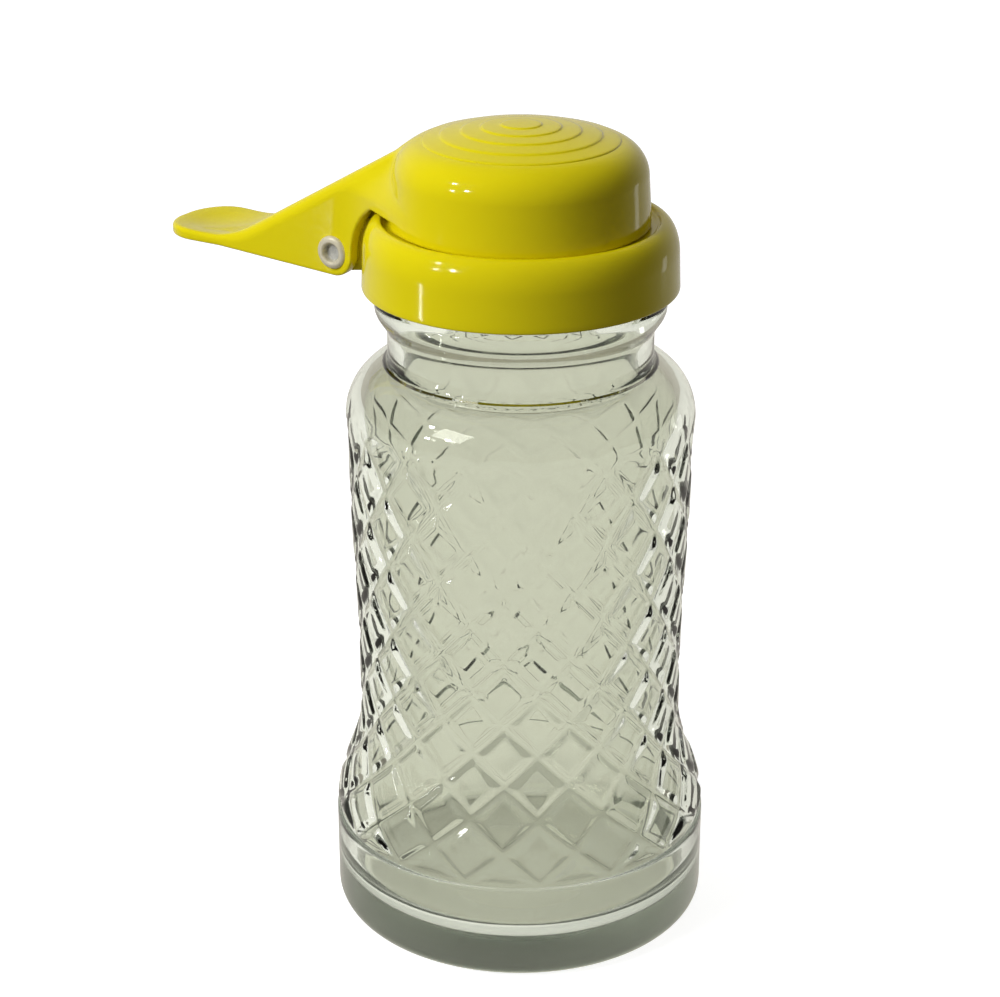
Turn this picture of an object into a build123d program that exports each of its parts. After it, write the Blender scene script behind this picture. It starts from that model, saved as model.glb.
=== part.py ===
from build123d import *
import os
from math import acos, asin, atan2, cos, dist, hypot, pi, radians, sin, sqrt, tan

# Diner-style syrup dispenser: a quilted glass jar, a screw-on plastic collar with a
# pouring spout, and a sprung dome lid that a thumb lever tips back.
# Units are millimetres. The origin is on the jar's axis, on the surface it stands on.
# The spout pours towards +X, the thumb lever points to -X and the hinge runs along Y.

# ---------------------------------------------------------------- jar sizes
base_ring_width = 5.6       # flat ring that the jar stands on
push_up = 1.2               # how far the middle of the base is pushed up
heel_radius = 38.4          # plain band round the foot
heel_corner = 4.0
heel_top = 21.4             # top edge of the plain band, where the quilting starts
heel_taper_top = 44.0       # height at which the foot has tapered in to the waist
waist_radius = 33.0
waist_top = 54.0            # the body widens again above this height
chest_radius = 34.25
chest_height = 98.0
ridge_radius = 34.7         # plain ridge above the quilting
quilt_top = 107.0
ridge_height = 107.9
shoulder_arc = 11.7         # radius of the rounded shoulder
neck_radius = 26.2
neck_fillet = 1.6
bead_low = 125.2            # start of the flare under the transfer bead
bead_high = 130.4
bead_top = 132.2
bead_radius = 28.6
finish_radius = 27.0        # plain land that carries the screw thread
jar_height = 143.0          # top of the mouth
lip_corner = 0.9
glass_wall = 3.7
floor_thickness = 6.4
floor_corner = 8.0
throat_wall = 3.2           # glass wall in the neck
mouth_wall = 3.0            # glass wall at the mouth

# ------------------------------------------------------------ diamond quilting
quilt_columns = 16          # diamonds round the jar
quilt_half_rows = 12        # half diamonds between the plain band and the ridge
quilt_growth = 0.0125       # each row is a little taller than the one below
quilt_turn = 3.3            # angle of the first column from +X, in degrees
quilt_relief = 0.6          # height of each pillow above the net
quilt_border = 0.25         # share of a diamond taken by its bevelled border
quilt_bed = 0.35            # depth of the plain wall under the net
quilt_lap = 0.3             # how far the quilted skin runs under its plain borders

# ------------------------------------------------------------- collar sizes
liner_thickness = 1.0
liner_inner_radius = 24.4
liner_outer_radius = 27.6
skirt_reach = 8.9           # of the skirt down over the jar's mouth
collar_radius = 31.0        # bottom of the skirt
collar_draft = 0.25         # the skirt is this much narrower where its shoulder starts
collar_wall = 2.1
shoulder_drop = 2.0         # start of the rounded shoulder, below the jar's mouth
crest_radius = 27.4         # rounded top edge round the lid
crest_rise = 4.5            # of the crest above the jar's mouth
crest_width = 0.7
crest_drop = 0.3
seat_radius = 26.0          # foot of the crest's inner wall
deck_thickness = 2.3
edge_round = 0.4

# -------------------------------------------------------------- spout sizes
spout_centre = 12.0
spout_foot_radius = 9.6
spout_waist_radius = 7.1
spout_waist_height = 4.6    # above the deck
spout_lip_radius = 7.3      # the lip flares and leans towards the pouring side
spout_lean = 0.3
spout_wall = 1.3
spout_front_height = 10.2   # of the lip above the deck, at the pouring edge
spout_rear_height = 6.0
spout_lip_round = 0.4

# ---------------------------------------------------------------- lid sizes
lid_gap = 0.3               # between the lid's rim and the deck
dome_radius = 25.2
dome_draft = 0.6
dome_corner = 6.9           # radius of the rounding between wall and crown
dome_height = 19.5          # from the rim to the apex
dome_wall = 2.0
rim_round = 0.4
crown_radius = 80.0
ring_radii = (19.0, 15.5, 11.5, 7.7, 3.9)
ring_step = 0.2             # the crown climbs one step inside each ring

# -------------------------------------------------------------- lever sizes
pivot_x = -37.5
pivot_drop = 5.7            # of the hinge line below the jar's mouth
lever_half_width = 10.0
cheek_wall = 2.0
cheek_fillet = 4.0
lobe_radius = 4.9           # rounded end of each cheek, round the rivet
lever_slope = 30.0
lever_root_x = -64.0        # where the thumb pad turns up into the slope
lever_root_turn = 4.0       # length of the turn on each side of that corner
lever_top_wall = 2.0
lever_edge_round = 1.4
lever_merge_x = -24.0       # where the slope starts to curve over into the dome
lever_merge_end_x = -14.0   # where it has reached the crown
lever_merge_drop = 3.7      # of that end below the apex
pad_drop = 1.2              # of the thumb pad's top below the hinge line
pad_thickness = 2.0
pad_tip_x = -82.4
pad_tip_length = 9.0        # of the rounded tip
pad_back_x = -66.0          # where the pad's flat underside ends
dish_depth = 0.9            # hollow for the thumb
dish_radius = 30.0
dish_x = -73.0
cheek_step_x = -26.0        # where the cheeks' lower edge levels out over the crest
shoulder_clearance = 0.9    # between that edge and the crest of the collar
channel_front_x = -60.5
channel_end_x = -20.0

# --------------------------------------------------------- hinge and spring
rivet_radius = 2.38         # 3/16 inch semi-tubular rivet
bore_clearance = 0.06
rivet_head_radius = 4.1
rivet_head_height = 1.3
rivet_head_edge = 0.3
rivet_roll_radius = 3.4     # outside of the rolled-over end
rivet_roll_height = 0.9
rivet_hole_radius = 1.95
rivet_hole_depth = 3.2
face_clearance = 0.3        # between faces that turn past each other
ear_thickness = 2.5
ear_radius = 4.4
ear_top_x = -28.3           # where the ears' upper edge dies into the shoulder
ear_top_drop = 2.1          # of that point below the crest
spring_wire = 1.0
spring_seat_gap = 0.1       # between the wire and the faces it bears on
spring_turns = 4
spring_pitch = 1.55
lever_leg_angle = 240.0     # where on the coil the leg to the lever leaves
collar_leg_length = 7.4
gap_samples = 600           # points along the wire for measuring its gap to itself

os.makedirs("parts", exist_ok=True)

# ------------------------------------------------------------ derived sizes
jar_mouth_radius = finish_radius - mouth_wall
deck_bottom = jar_height + liner_thickness
deck_top = deck_bottom + deck_thickness
rim_height = deck_top + lid_gap
dome_apex = rim_height + dome_height
collar_bottom = jar_height - skirt_reach
shoulder_start = jar_height - shoulder_drop
crest_height = jar_height + crest_rise
pivot_z = jar_height - pivot_drop
pad_top = pivot_z - pad_drop
lever_merge_end = (lever_merge_end_x, dome_apex - lever_merge_drop)
ear_top = (ear_top_x, crest_height - ear_top_drop)
skirt_bore_radius = collar_radius - collar_wall
ear_outer = lever_half_width - cheek_wall - face_clearance
ear_inner = ear_outer - ear_thickness
bore_radius = rivet_radius + bore_clearance
shoulder_centre = (ridge_radius - shoulder_arc, ridge_height)


def smooth_step(start, end, share):
    """Blend from start to end with level tangents at both ends."""
    held = min(max(share, 0.0), 1.0)
    return start + (end - start) * (1 - cos(pi * held)) / 2


def body_radius(height):
    """Outside radius of the jar's waisted body at a height."""
    taper = (height - heel_top) / (heel_taper_top - heel_top)
    widen = (height - waist_top) / (chest_height - waist_top)
    foot = smooth_step(heel_radius, waist_radius, taper)
    return foot + smooth_step(0, chest_radius - waist_radius, widen)


def net_height(half_row):
    """Height of a crossing of the quilting's net, counted in half rows."""
    climb = half_row + quilt_growth * half_row**2
    full_climb = quilt_half_rows + quilt_growth * quilt_half_rows**2
    return heel_top + (quilt_top - heel_top) * climb / full_climb


def net_point(half_column, half_row, depth):
    """Point on the jar's body, a depth below the tops of the pillows."""
    angle = radians(quilt_turn + half_column * 180 / quilt_columns)
    height = net_height(half_row)
    radius = body_radius(height) - depth
    return Vector(radius * cos(angle), radius * sin(angle), height)


def triangle(*corners):
    return Face(Wire.make_polygon(corners, close=True))


def pillow_faces(half_column, half_row):
    """The two facets and eight bevels of one diamond, cut off at the borders."""
    upper = min(half_row + 1, quilt_half_rows)
    lower = max(half_row - 1, 0)
    middle = (upper + lower) / 2
    rim = ((0, upper), (-1, half_row), (0, lower), (1, half_row))
    outside = [net_point(half_column + side, row, quilt_relief) for side, row in rim]
    inside = [
        net_point(
            half_column + side * (1 - quilt_border),
            row + (middle - row) * quilt_border,
            0,
        )
        for side, row in rim
    ]
    faces = [triangle(inside[0], inside[1], inside[2])]
    faces.append(triangle(inside[0], inside[2], inside[3]))
    for corner in range(4):
        after = (corner + 1) % 4
        faces.append(triangle(outside[corner], outside[after], inside[corner]))
        faces.append(triangle(outside[after], inside[after], inside[corner]))
    return faces


def quilted_skin():
    """Closed ring whose outside is the diamond quilting."""
    columns = 2 * quilt_columns
    faces = []
    for column in range(columns):
        for row in range(column % 2, quilt_half_rows + 1, 2):
            faces.extend(pillow_faces(column, row))
    lap = Vector(0, 0, quilt_lap)
    back = quilt_relief + 2 * quilt_bed
    foot = [net_point(c, 0, quilt_relief) for c in range(columns)]
    head = [net_point(c, quilt_half_rows, quilt_relief) for c in range(columns)]
    loops = [foot, [p - lap for p in foot]]
    back_loops = [
        [net_point(c, row, back) for c in range(columns)]
        for row in range(0, quilt_half_rows + 1, 2)
    ]
    loops.append([p - lap for p in back_loops[0]])
    loops.extend(back_loops)
    loops.append([p + lap for p in back_loops[-1]])
    loops.extend([[p + lap for p in head], head])
    for first, second in zip(loops, loops[1:]):
        for c in range(columns):
            after = (c + 1) % columns
            corners = (first[c], first[after], second[after], second[c])
            faces.append(triangle(*corners))
    return Solid(Shell(faces))


def neck_round(arc_radius, target_radius, fillet_radius):
    """Where a fillet joins the shoulder's arc to the neck: its two ends."""
    reach = target_radius + fillet_radius - shoulder_centre[0]
    rise = sqrt((arc_radius + fillet_radius) ** 2 - reach**2)
    share = arc_radius / (arc_radius + fillet_radius)
    start = (shoulder_centre[0] + reach * share, shoulder_centre[1] + rise * share)
    return start, (target_radius, shoulder_centre[1] + rise)


# ---------------------------------------------------------------- glass jar
standing_radius = heel_radius - heel_corner
ring_inner_radius = standing_radius - base_ring_width
throat_radius = neck_radius - throat_wall
inner_heel_radius = heel_radius - glass_wall
quilt_levels = [net_height(row) for row in range(quilt_half_rows + 1)]
core = [(body_radius(z) - quilt_relief - quilt_bed, z) for z in quilt_levels]
inner_wall = [(body_radius(z) - glass_wall, z) for z in reversed(quilt_levels[1:-1:2])]
outer_round = neck_round(shoulder_arc, neck_radius, neck_fillet)
inner_round = neck_round(shoulder_arc - glass_wall, throat_radius, neck_fillet)

with BuildPart() as glass_jar:
    with BuildSketch(Plane.XZ):
        with BuildLine():
            TangentArc((0, push_up), (ring_inner_radius, 0), tangent=(1, 0))
            Line((ring_inner_radius, 0), (standing_radius, 0))
            TangentArc((standing_radius, 0), (heel_radius, heel_corner), tangent=(1, 0))
            Polyline((heel_radius, heel_corner), (heel_radius, heel_top), *core)
            Polyline(
                core[-1],
                (body_radius(quilt_top), quilt_top),
                (ridge_radius, ridge_height),
            )
            TangentArc((ridge_radius, ridge_height), outer_round[0], tangent=(0, 1))
            TangentArc(outer_round[1], outer_round[0], tangent=(0, -1))
            Line(outer_round[1], (neck_radius, bead_low))
            Spline(
                (neck_radius, bead_low),
                ((neck_radius + bead_radius) / 2, (bead_low + bead_high) / 2),
                (bead_radius, bead_high),
                tangents=((0, 1), (0, 1)),
            )
            Polyline(
                (bead_radius, bead_high),
                (bead_radius, bead_top),
                (finish_radius, bead_top + bead_radius - finish_radius),
                (finish_radius, jar_height - lip_corner),
            )
            TangentArc(
                (finish_radius, jar_height - lip_corner),
                (finish_radius - lip_corner, jar_height),
                tangent=(0, 1),
            )
            Line(
                (finish_radius - lip_corner, jar_height),
                (jar_mouth_radius + lip_corner, jar_height),
            )
            TangentArc(
                (jar_mouth_radius + lip_corner, jar_height),
                (jar_mouth_radius, jar_height - lip_corner),
                tangent=(-1, 0),
            )
            Polyline(
                (jar_mouth_radius, jar_height - lip_corner),
                (jar_mouth_radius, bead_high),
                (throat_radius, bead_low),
                inner_round[1],
            )
            TangentArc(inner_round[1], inner_round[0], tangent=(0, -1))
            TangentArc(
                (shoulder_centre[0] + shoulder_arc - glass_wall, ridge_height),
                inner_round[0],
                tangent=(0, 1),
            )
            Spline(
                (shoulder_centre[0] + shoulder_arc - glass_wall, ridge_height),
                *inner_wall,
                (inner_heel_radius, floor_thickness + floor_corner),
                tangents=((0, -1), (0, -1)),
            )
            TangentArc(
                (inner_heel_radius, floor_thickness + floor_corner),
                (inner_heel_radius - floor_corner, floor_thickness),
                tangent=(0, -1),
            )
            Polyline(
                (inner_heel_radius - floor_corner, floor_thickness),
                (0, floor_thickness),
                (0, push_up),
            )
        make_face()
    revolve(axis=Axis.Z)
    add(quilted_skin())
glass_jar.part.label = "glass_jar"
export_step(glass_jar.part, "parts/glass_jar.step")

# ---------------------------------------------------------------- cap liner
with BuildPart() as cap_liner:
    with BuildSketch(Plane.XY.offset(jar_height)):
        Circle(liner_outer_radius)
        Circle(liner_inner_radius, mode=Mode.SUBTRACT)
    extrude(amount=liner_thickness)
cap_liner.part.label = "cap_liner"
export_step(cap_liner.part, "parts/cap_liner.step")

# ------------------------------------------------------------- screw collar
shoulder_radius = collar_radius - collar_draft
ear_root = (-skirt_bore_radius, collar_bottom)
spout_waist = deck_top + spout_waist_height
spout_top = deck_top + spout_front_height
spout_front = spout_centre + spout_lean + spout_lip_radius
lip_slope = (spout_front_height - spout_rear_height) / (2 * spout_lip_radius)


def ear_tangent(point, side):
    """Where a line from a point touches the round end of the ears."""
    run, rise = point[0] - pivot_x, point[1] - pivot_z
    angle = atan2(rise, run) + side * acos(ear_radius / hypot(run, rise))
    return pivot_x + ear_radius * cos(angle), pivot_z + ear_radius * sin(angle)


def spout_levels(wall):
    """Height, shift towards the pouring side and radius of the spout's sections."""
    return (
        (deck_bottom, 0, spout_foot_radius - wall),
        (spout_waist, 0, spout_waist_radius - wall),
        (spout_top, spout_lean, spout_lip_radius - wall),
    )


with BuildPart() as spout:
    for height, shift, radius in spout_levels(0):
        with BuildSketch(Plane.XY.offset(height)):
            with Locations((spout_centre + shift, 0)):
                Circle(radius)
    loft()
    lip_plane = Plane(origin=(spout_front, 0, spout_top), z_dir=(-lip_slope, 0, 1))
    split(bisect_by=lip_plane, keep=Keep.BOTTOM)
    fillet(faces().sort_by(Axis.Z)[-1].edges(), spout_lip_round)

with BuildPart() as screw_collar:
    with BuildSketch(Plane.XZ):
        with BuildLine():
            Line((0, collar_bottom), (collar_radius - edge_round, collar_bottom))
            TangentArc(
                (collar_radius - edge_round, collar_bottom),
                (collar_radius, collar_bottom + edge_round),
                tangent=(1, 0),
            )
            Line(
                (collar_radius, collar_bottom + edge_round),
                (shoulder_radius, shoulder_start),
            )
            EllipticalCenterArc(
                (crest_radius, shoulder_start),
                shoulder_radius - crest_radius,
                crest_height - shoulder_start,
                start_angle=0,
                arc_size=90,
            )
            TangentArc(
                (crest_radius, crest_height),
                (crest_radius - crest_width, crest_height - crest_drop),
                tangent=(-1, 0),
            )
            Polyline(
                (crest_radius - crest_width, crest_height - crest_drop),
                (seat_radius, deck_top),
                (0, deck_top),
                (0, collar_bottom),
            )
        make_face()
    revolve(axis=Axis.Z)
    for start in (ear_inner, -ear_outer):
        with BuildSketch(Plane.XZ.offset(start)):
            Polygon(
                ear_tangent(ear_root, -1),
                ear_root,
                ear_top,
                ear_tangent(ear_top, 1),
                (pivot_x, pivot_z),
                align=None,
            )
            with Locations((pivot_x, pivot_z)):
                Circle(ear_radius)
        extrude(amount=ear_thickness)
    add(spout.part)
    with BuildSketch(Plane.XZ):
        with BuildLine():
            Polyline(
                (skirt_bore_radius - edge_round, deck_bottom),
                (0, deck_bottom),
                (0, collar_bottom - edge_round),
                (skirt_bore_radius, collar_bottom - edge_round),
                (skirt_bore_radius, deck_bottom - edge_round),
            )
            TangentArc(
                (skirt_bore_radius, deck_bottom - edge_round),
                (skirt_bore_radius - edge_round, deck_bottom),
                tangent=(0, 1),
            )
        make_face()
    revolve(axis=Axis.Z, mode=Mode.SUBTRACT)
    for height, shift, radius in spout_levels(spout_wall):
        with BuildSketch(Plane.XY.offset(height)):
            with Locations((spout_centre + shift, 0)):
                Circle(radius)
    loft(mode=Mode.SUBTRACT)
    with BuildSketch(Plane.XZ.offset(-ear_outer)):
        with Locations((pivot_x, pivot_z)):
            Circle(bore_radius)
    extrude(amount=2 * ear_outer, mode=Mode.SUBTRACT)
screw_collar.part.label = "screw_collar"
export_step(screw_collar.part, "parts/screw_collar.step")

# ------------------------------------------------------- lid with thumb lever
dome_top_radius = dome_radius - dome_draft
crown_edge = (dome_top_radius - dome_corner) / (1 - dome_corner / crown_radius)
crown_angle = asin(crown_edge / crown_radius)
crown_top = dome_apex - ring_step * len(ring_radii)
lever_run = tan(radians(lever_slope))
root_end = (
    lever_root_x + lever_root_turn * cos(radians(lever_slope)),
    pad_top + lever_root_turn * sin(radians(lever_slope)),
)
pad_bottom = pad_top - pad_thickness
roof_drop = lever_top_wall / cos(radians(lever_slope))
cheek_level = crest_height + shoulder_clearance


def crown_height(radius, steps):
    """Height of the crown at a radius, after climbing a number of rings."""
    drop = crown_radius - sqrt(crown_radius**2 - radius**2)
    return crown_top - drop + ring_step * steps


def slope_height(x):
    """Height of the lever's sloping top."""
    return pad_top + (x - lever_root_x) * lever_run


corner_height = crown_height(crown_edge, 0) - dome_corner * cos(crown_angle)
crown_run = [(crown_edge, crown_height(crown_edge, 0))]
for climbed, ring in enumerate(ring_radii):
    riser = ring - ring_step / 2
    crown_run.append((ring, crown_height(ring, climbed)))
    crown_run.append((riser, crown_height(riser, climbed + 1)))
inner_crown_edge = (
    crown_edge - dome_wall * sin(crown_angle),
    crown_height(crown_edge, 0) - dome_wall * cos(crown_angle),
)

with BuildPart() as lever:
    with BuildSketch(Plane.XZ.offset(-lever_half_width)):
        with BuildLine():
            TangentArc((lever_root_x - lever_root_turn, pad_top), root_end, tangent=(1, 0))
            Line(root_end, (lever_merge_x, slope_height(lever_merge_x)))
            TangentArc(
                (lever_merge_x, slope_height(lever_merge_x)),
                lever_merge_end,
                tangent=(1, lever_run),
            )
            Polyline(
                lever_merge_end,
                (lever_merge_end[0], cheek_level),
                (cheek_step_x, cheek_level),
            )
            TangentArc(
                (pivot_x + lobe_radius, pivot_z),
                (cheek_step_x, cheek_level),
                tangent=(0, 1),
            )
            CenterArc((pivot_x, pivot_z), lobe_radius, start_angle=-90, arc_size=90)
            Polyline(
                (pivot_x, pivot_z - lobe_radius),
                (pad_back_x, pad_bottom),
                (pad_tip_x, pad_bottom),
                (pad_tip_x, pad_top),
                (lever_root_x - lever_root_turn, pad_top),
            )
        make_face()
    extrude(amount=2 * lever_half_width)
    with BuildSketch(Plane.XY.offset(pivot_z - 2 * lobe_radius)):
        with BuildLine():
            Polyline(
                (pad_tip_x + pad_tip_length, lever_half_width),
                (lever_merge_end[0], lever_half_width),
                (lever_merge_end[0], -lever_half_width),
                (pad_tip_x + pad_tip_length, -lever_half_width),
            )
            EllipticalCenterArc(
                (pad_tip_x + pad_tip_length, 0),
                pad_tip_length,
                lever_half_width,
                start_angle=90,
                arc_size=180,
            )
        make_face()
    extrude(amount=dome_apex - pivot_z + 2 * lobe_radius, mode=Mode.INTERSECT)
    top_edges = faces().filter_by(lambda face: face.normal_at().Z > 0).edges()
    fillet(top_edges.filter_by(Axis.Y, reverse=True), lever_edge_round)
    with Locations((dish_x, 0, pad_top + dish_radius - dish_depth)):
        Sphere(dish_radius, mode=Mode.SUBTRACT)
    with BuildSketch(Plane.XZ.offset(cheek_wall - lever_half_width)):
        Polygon(
            (channel_front_x, slope_height(channel_front_x) - roof_drop),
            (channel_front_x, pivot_z - 2 * lobe_radius),
            (channel_end_x, pivot_z - 2 * lobe_radius),
            (channel_end_x, slope_height(channel_end_x) - roof_drop),
            align=None,
        )
    extrude(amount=2 * (lever_half_width - cheek_wall), mode=Mode.SUBTRACT)

with BuildPart() as lid:
    with BuildSketch(Plane.XZ):
        with BuildLine():
            Line((0, rim_height), (dome_radius - rim_round, rim_height))
            TangentArc(
                (dome_radius - rim_round, rim_height),
                (dome_radius, rim_height + rim_round),
                tangent=(1, 0),
            )
            Line((dome_radius, rim_height + rim_round), (dome_top_radius, corner_height))
            TangentArc((dome_top_radius, corner_height), crown_run[0], tangent=(0, 1))
            Polyline(*crown_run, (0, dome_apex), (0, rim_height))
        make_face()
    revolve(axis=Axis.Z)
    add(lever.part)
    wall_joints = edges().filter_by(GeomType.HYPERBOLA).group_by(Axis.Y)
    fillet(wall_joints[0] + wall_joints[-1], cheek_fillet)
    with BuildSketch(Plane.XZ):
        with BuildLine():
            Polyline(
                (0, crown_top - dome_wall),
                (0, deck_top),
                (dome_radius - dome_wall, deck_top),
                (dome_radius - dome_wall, rim_height + rim_round),
                (dome_top_radius - dome_wall, corner_height),
            )
            TangentArc(
                (dome_top_radius - dome_wall, corner_height),
                inner_crown_edge,
                tangent=(0, 1),
            )
            TangentArc(
                inner_crown_edge,
                (0, crown_top - dome_wall),
                tangent=(-cos(crown_angle), sin(crown_angle)),
            )
        make_face()
    revolve(axis=Axis.Z, mode=Mode.SUBTRACT)
    with BuildSketch(Plane.XZ.offset(-lever_half_width)):
        with Locations((pivot_x, pivot_z)):
            Circle(bore_radius)
    extrude(amount=2 * lever_half_width, mode=Mode.SUBTRACT)
lid.part.label = "lid"
export_step(lid.part, "parts/lid.step")

# --------------------------------------------------------------- hinge rivet
hinge_plane = Plane(origin=(pivot_x, 0, pivot_z), x_dir=(0, 1, 0), z_dir=(1, 0, 0))
roll_round = rivet_roll_height / 2
roll_centre = rivet_roll_radius - roll_round
hollow_end = -lever_half_width - rivet_roll_height

with BuildPart() as hinge_rivet:
    with BuildSketch(hinge_plane):
        with BuildLine():
            Polyline(
                (hollow_end, roll_centre),
                (hollow_end, rivet_hole_radius),
                (hollow_end + rivet_hole_depth, rivet_hole_radius),
                (hollow_end + rivet_hole_depth, 0),
                (lever_half_width + rivet_head_height, 0),
            )
            TangentArc(
                (lever_half_width + rivet_head_height, 0),
                (lever_half_width + rivet_head_edge, rivet_head_radius),
                tangent=(0, 1),
            )
            Polyline(
                (lever_half_width + rivet_head_edge, rivet_head_radius),
                (lever_half_width, rivet_head_radius),
                (lever_half_width, rivet_radius),
                (-lever_half_width, rivet_radius),
                (-lever_half_width, roll_centre),
            )
            TangentArc(
                (-lever_half_width, roll_centre),
                (hollow_end, roll_centre),
                tangent=(0, 1),
            )
        make_face()
    revolve(axis=Axis((pivot_x, 0, pivot_z), (0, 1, 0)))
hinge_rivet.part.label = "hinge_rivet"
export_step(hinge_rivet.part, "parts/hinge_rivet.step")

# ------------------------------------------------------------- return spring
coil_radius = pivot_z - collar_bottom + spring_wire / 2 + spring_seat_gap
lowest = 270.0              # the leg under the collar's skirt leaves here
coil_sweep = 360.0 * spring_turns + lowest - lever_leg_angle
rise_slope = spring_pitch / (2 * pi * coil_radius)
quarter_turns = [90.0 * step for step in range(int(coil_sweep // 90) + 1)] + [coil_sweep]


def coil_point(turned):
    """Middle of the wire after turning this far from the lowest point."""
    angle = radians(lowest - turned)
    along = spring_pitch * (turned - coil_sweep / 2) / 360
    x = pivot_x + coil_radius * cos(angle)
    return Vector(x, along, pivot_z + coil_radius * sin(angle))


def coil_direction(turned):
    """Direction of the wire there; the ends run level into the legs."""
    angle = radians(lowest - turned)
    climb = 0 if turned in (0, coil_sweep) else rise_slope
    return Vector(sin(angle), climb, -cos(angle)).normalized()


def biarc(start, end):
    """Two arcs that join two points of the coil: their ends and directions."""
    p0, p1 = coil_point(start), coil_point(end)
    t0, t1 = coil_direction(start), coil_direction(end)
    chord, both = p1 - p0, t0 + t1
    bend = 2 * (1 - t0.dot(t1))
    reach = chord.dot(both)
    handle = (sqrt(reach**2 + bend * chord.dot(chord)) - reach) / bend
    q0, q1 = p0 + t0 * handle, p1 - t1 * handle
    return (p0, (q0 + q1) / 2, t0), ((q0 + q1) / 2, p1, q1 - q0)


lever_leg_direction = coil_direction(coil_sweep)
lever_leg_start = coil_point(coil_sweep)
leg_rise = -lever_leg_direction.Z / lever_leg_direction.X
roof_gap = slope_height(lever_leg_start.X) - roof_drop - lever_leg_start.Z
tip_room = spring_seat_gap + spring_wire / 2
lever_leg_length = (roof_gap / (leg_rise + lever_run) - tip_room) * hypot(1, leg_rise)

with BuildPart() as return_spring:
    with BuildLine() as spring_path:
        Line(coil_point(0) - coil_direction(0) * collar_leg_length, coil_point(0))
        for start, end in zip(quarter_turns, quarter_turns[1:]):
            for arc_start, arc_end, direction in biarc(start, end):
                TangentArc(arc_start, arc_end, tangent=direction)
        Line(lever_leg_start, lever_leg_start + lever_leg_direction * lever_leg_length)
    spring_wire_path = spring_path.wires()[0]
    with BuildSketch(Plane(spring_wire_path @ 0, z_dir=spring_wire_path % 0)):
        Circle(spring_wire / 2)
    sweep(path=spring_wire_path)
return_spring.part.label = "return_spring"
export_step(return_spring.part, "parts/return_spring.step")

samples = [tuple(spring_wire_path @ (n / gap_samples)) for n in range(gap_samples + 1)]
apart = int(gap_samples * pi * coil_radius / spring_wire_path.length)
closest = min(
    dist(samples[first], samples[second])
    for first in range(len(samples) - apart)
    for second in range(first + apart, len(samples))
)
print("return_spring gap to itself", round(closest - spring_wire, 3), "mm")
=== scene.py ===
import math

import bpy
import numpy as np
from mathutils import Matrix, Vector


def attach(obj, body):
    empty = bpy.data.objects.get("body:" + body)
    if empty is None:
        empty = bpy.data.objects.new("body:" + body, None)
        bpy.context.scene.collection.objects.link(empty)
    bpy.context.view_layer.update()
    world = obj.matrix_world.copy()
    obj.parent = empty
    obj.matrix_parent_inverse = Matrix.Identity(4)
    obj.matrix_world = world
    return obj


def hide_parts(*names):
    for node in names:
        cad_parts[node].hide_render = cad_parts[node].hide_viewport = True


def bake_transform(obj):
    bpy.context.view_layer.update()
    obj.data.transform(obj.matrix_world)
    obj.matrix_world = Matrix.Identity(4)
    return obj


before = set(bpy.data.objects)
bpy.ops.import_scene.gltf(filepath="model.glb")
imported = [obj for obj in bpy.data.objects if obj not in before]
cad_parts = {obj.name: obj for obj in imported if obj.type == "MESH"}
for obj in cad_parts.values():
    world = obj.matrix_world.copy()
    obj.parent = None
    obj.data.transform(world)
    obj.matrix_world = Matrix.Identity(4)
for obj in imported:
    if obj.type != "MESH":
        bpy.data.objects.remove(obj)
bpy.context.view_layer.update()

# Lengths are in millimetres unless a comment says otherwise. Heights are taken from
# the table, radii from the axis of the jar, and the lever points to -X.
MM = 0.001
PX, PZ = -37.5, 137.3  # the hinge line, which runs along Y
THREAD_PITCH, THREAD_TURNS = 5.08, 1.35
THREAD_DRAWN = 0.9  # the threads are drawn climbing this share of the pitch
THREAD_FADE = 0.08  # in turns, at each end of a thread


# ------------------------------------------------------------------ mesh tools
def make_mesh(name, points, faces, smooth=True):
    """A mesh object from points in millimetres and lists of face corner indices."""
    me = bpy.data.meshes.new(name)
    points = np.asarray(points, float) * MM
    blocks = [np.asarray(f, np.int32) for f in (faces if isinstance(faces, list) else [faces])]
    loops = np.concatenate([b.reshape(-1) for b in blocks])
    sizes = np.concatenate([np.full(len(b), b.shape[1]) for b in blocks])
    me.vertices.add(len(points))
    me.vertices.foreach_set("co", points.astype(np.float32).reshape(-1))
    me.loops.add(len(loops))
    me.loops.foreach_set("vertex_index", loops.astype(np.int32))
    me.polygons.add(len(sizes))
    starts = np.concatenate([[0], np.cumsum(sizes)[:-1]])
    me.polygons.foreach_set("loop_start", starts.astype(np.int32))
    me.polygons.foreach_set("use_smooth", np.full(len(sizes), smooth))
    me.update(calc_edges=True)
    me.validate()
    ob = bpy.data.objects.new(name, me)
    bpy.context.scene.collection.objects.link(ob)
    return ob


def ring_faces(rows, count, flip=False, closed=False):
    """Quads between rows of a lofted grid whose rows are closed rings."""
    k = np.arange(rows if closed else rows - 1)[:, None]
    i = np.arange(count)[None, :]
    a = k * count + i
    b = k * count + (i + 1) % count
    c = ((k + 1) % rows) * count + (i + 1) % count
    d = ((k + 1) % rows) * count + i
    quads = np.stack([a, b, c, d], -1).reshape(-1, 4)
    return quads[:, ::-1] if flip else quads


def full_circle(count):
    """Evenly spaced angles, in radians."""
    return np.arange(count) * 2 * math.pi / count


def lathe(profile, count):
    """Points of a profile of (radius, height) turned round Z, row by row."""
    t = full_circle(count)
    p = np.asarray(profile, float)
    return np.stack(
        [p[:, :1] * np.cos(t), p[:, :1] * np.sin(t), np.repeat(p[:, 1:], count, 1)], -1
    )


def arc(cx, cy, r, start, end, n):
    """Points of an arc, angles in degrees."""
    t = np.radians(np.linspace(start, end, n))
    return [(cx + r * math.cos(a), cy + r * math.sin(a)) for a in t]


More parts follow.
